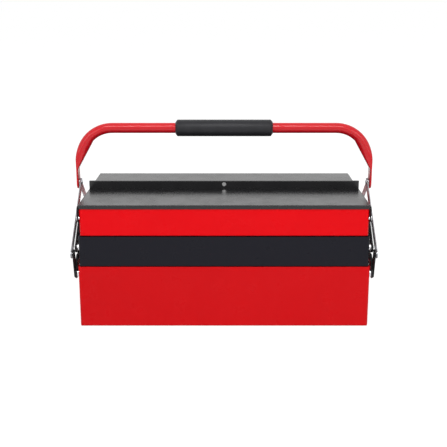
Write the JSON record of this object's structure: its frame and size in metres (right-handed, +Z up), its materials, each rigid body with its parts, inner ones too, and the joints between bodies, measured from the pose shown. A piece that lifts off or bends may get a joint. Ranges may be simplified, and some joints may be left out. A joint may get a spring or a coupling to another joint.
{
  "type": "cantilever tool box",
  "caption": "Metal cantilever tool box with a deep base bin, paired trays on parallel arms, two lids and a tubular handle with a grip.",
  "frame": {"origin": "centre of the underside of the base bin, on the floor", "axes": "+Z up; X along the box; -Y towards the front"},
  "size_m": [0.4628, 0.204, 0.2967],
  "materials": {
    "base_red": "gloss",
    "tray_red": "gloss",
    "tray_black": "gloss",
    "lid_black": "gloss",
    "handle_red": "gloss",
    "arm_black": "gloss",
    "grip": "matte",
    "zinc_plate": "bright",
    "rivet_steel": "bright"
  },
  "bodies": {
    "base": {"base_bin": "base_red", "base_bushes": "rivet_steel", "base_rivets": "rivet_steel"},
    "front_long_arms": {"front_left_long_arm": "arm_black", "front_right_long_arm": "arm_black", "front_left_crank": "arm_black", "front_right_crank": "arm_black", "front_crank_rivets": "rivet_steel"},
    "front_lower_arms": {"front_left_lower_arm": "arm_black", "front_right_lower_arm": "arm_black"},
    "front_middle_tray": {"front_middle_tray": "tray_black", "front_middle_bushes": "rivet_steel", "front_middle_rivets": "rivet_steel"},
    "front_upper_arms": {"front_left_upper_arm": "arm_black", "front_right_upper_arm": "arm_black"},
    "front_top_tray": {"front_top_tray": "tray_red", "front_top_bushes": "rivet_steel", "front_top_rivets": "rivet_steel", "front_lid_pins": "rivet_steel"},
    "front_lid": {"front_lid": "lid_black", "front_lid_brackets": "arm_black"},
    "front_links": {"front_left_link": "zinc_plate", "front_right_link": "zinc_plate", "front_link_rivets": "rivet_steel"},
    "back_long_arms": {"back_left_long_arm": "arm_black", "back_right_long_arm": "arm_black", "back_left_crank": "arm_black", "back_right_crank": "arm_black", "back_crank_rivets": "rivet_steel"},
    "back_lower_arms": {"back_left_lower_arm": "arm_black", "back_right_lower_arm": "arm_black"},
    "back_middle_tray": {"back_middle_tray": "tray_black", "back_middle_bushes": "rivet_steel", "back_middle_rivets": "rivet_steel"},
    "back_upper_arms": {"back_left_upper_arm": "arm_black", "back_right_upper_arm": "arm_black"},
    "back_top_tray": {"back_top_tray": "tray_red", "back_top_bushes": "rivet_steel", "back_top_rivets": "rivet_steel", "back_lid_pins": "rivet_steel"},
    "back_lid": {"back_lid": "lid_black", "back_lid_brackets": "arm_black"},
    "back_links": {"back_left_link": "zinc_plate", "back_right_link": "zinc_plate", "back_link_rivets": "rivet_steel"},
    "handle_pins": {"handle_pins": "rivet_steel"},
    "handle": {"handle_tube": "handle_red", "handle_grip": "grip"}
  },
  "joints": [
    {"name": "front_open", "type": "hinge", "parent": "base", "child": "front_long_arms", "pos_m": [0, -0.088, 0.08], "axis": [1, 0, 0], "range_deg": [0, 90]},
    {"name": "front_lower_turn", "type": "hinge", "parent": "base", "child": "front_lower_arms", "pos_m": [0, -0.053, 0.078], "axis": [1, 0, 0], "range_deg": [0, 90]},
    {"name": "front_middle_level", "type": "hinge", "parent": "front_long_arms", "child": "front_middle_tray", "pos_m": [0, -0.04982, 0.11818], "axis": [-1, 0, 0], "range_deg": [0, 90]},
    {"name": "front_upper_turn", "type": "hinge", "parent": "front_middle_tray", "child": "front_upper_arms", "pos_m": [0, -0.08182, 0.11818], "axis": [1, 0, 0], "range_deg": [0, 90]},
    {"name": "front_top_level", "type": "hinge", "parent": "front_long_arms", "child": "front_top_tray", "pos_m": [0, -0.01163, 0.15637], "axis": [-1, 0, 0], "range_deg": [0, 90]},
    {"name": "front_lid_open", "type": "hinge", "parent": "front_top_tray", "child": "front_lid", "pos_m": [0, -0.094, 0.167], "axis": [1, 0, 0], "range_deg": [0, 110]},
    {"name": "back_open", "type": "hinge", "parent": "base", "child": "back_long_arms", "pos_m": [0, 0.088, 0.08], "axis": [-1, 0, 0], "range_deg": [0, 90]},
    {"name": "back_lower_turn", "type": "hinge", "parent": "base", "child": "back_lower_arms", "pos_m": [0, 0.053, 0.078], "axis": [-1, 0, 0], "range_deg": [0, 90]},
    {"name": "back_middle_level", "type": "hinge", "parent": "back_long_arms", "child": "back_middle_tray", "pos_m": [0, 0.04982, 0.11818], "axis": [1, 0, 0], "range_deg": [0, 90]},
    {"name": "back_upper_turn", "type": "hinge", "parent": "back_middle_tray", "child": "back_upper_arms", "pos_m": [0, 0.08182, 0.11818], "axis": [-1, 0, 0], "range_deg": [0, 90]},
    {"name": "back_top_level", "type": "hinge", "parent": "back_long_arms", "child": "back_top_tray", "pos_m": [0, 0.01163, 0.15637], "axis": [1, 0, 0], "range_deg": [0, 90]},
    {"name": "back_lid_open", "type": "hinge", "parent": "back_top_tray", "child": "back_lid", "pos_m": [0, 0.094, 0.167], "axis": [-1, 0, 0], "range_deg": [0, 110]},
    {"name": "handle_drop", "type": "slide", "parent": "base", "child": "handle_pins", "axis": [0, 0, -1], "range_m": [0, 0.0808]},
    {"name": "front_link_turn", "type": "hinge", "parent": "handle_pins", "child": "front_links", "pos_m": [0, 0, 0.1973], "axis": [-1, 0, 0], "range_deg": [0, 22]},
    {"name": "back_link_turn", "type": "hinge", "parent": "handle_pins", "child": "back_links", "pos_m": [0, 0, 0.1973], "axis": [1, 0, 0], "range_deg": [0, 22]},
    {"name": "handle_lean", "type": "hinge", "parent": "handle_pins", "child": "handle", "pos_m": [0, 0, 0.1973], "axis": [1, 0, 0], "range_deg": [-45, 45]}
  ],
  "couplings": [
    {"joint": "front_lower_turn", "follows": "front_open", "ratio": 1},
    {"joint": "front_middle_level", "follows": "front_open", "ratio": 1},
    {"joint": "front_upper_turn", "follows": "front_open", "ratio": 1},
    {"joint": "front_top_level", "follows": "front_open", "ratio": 1},
    {"joint": "front_link_turn", "follows": "front_open", "ratio": 0.24391},
    {"joint": "back_lower_turn", "follows": "front_open", "ratio": 1},
    {"joint": "back_middle_level", "follows": "front_open", "ratio": 1},
    {"joint": "back_upper_turn", "follows": "front_open", "ratio": 1},
    {"joint": "back_top_level", "follows": "front_open", "ratio": 1},
    {"joint": "back_link_turn", "follows": "front_open", "ratio": 0.24391},
    {"joint": "back_open", "follows": "front_open", "ratio": 1},
    {"joint": "handle_drop", "follows": "front_open", "m_per_rad": 0.051374}
  ]
}
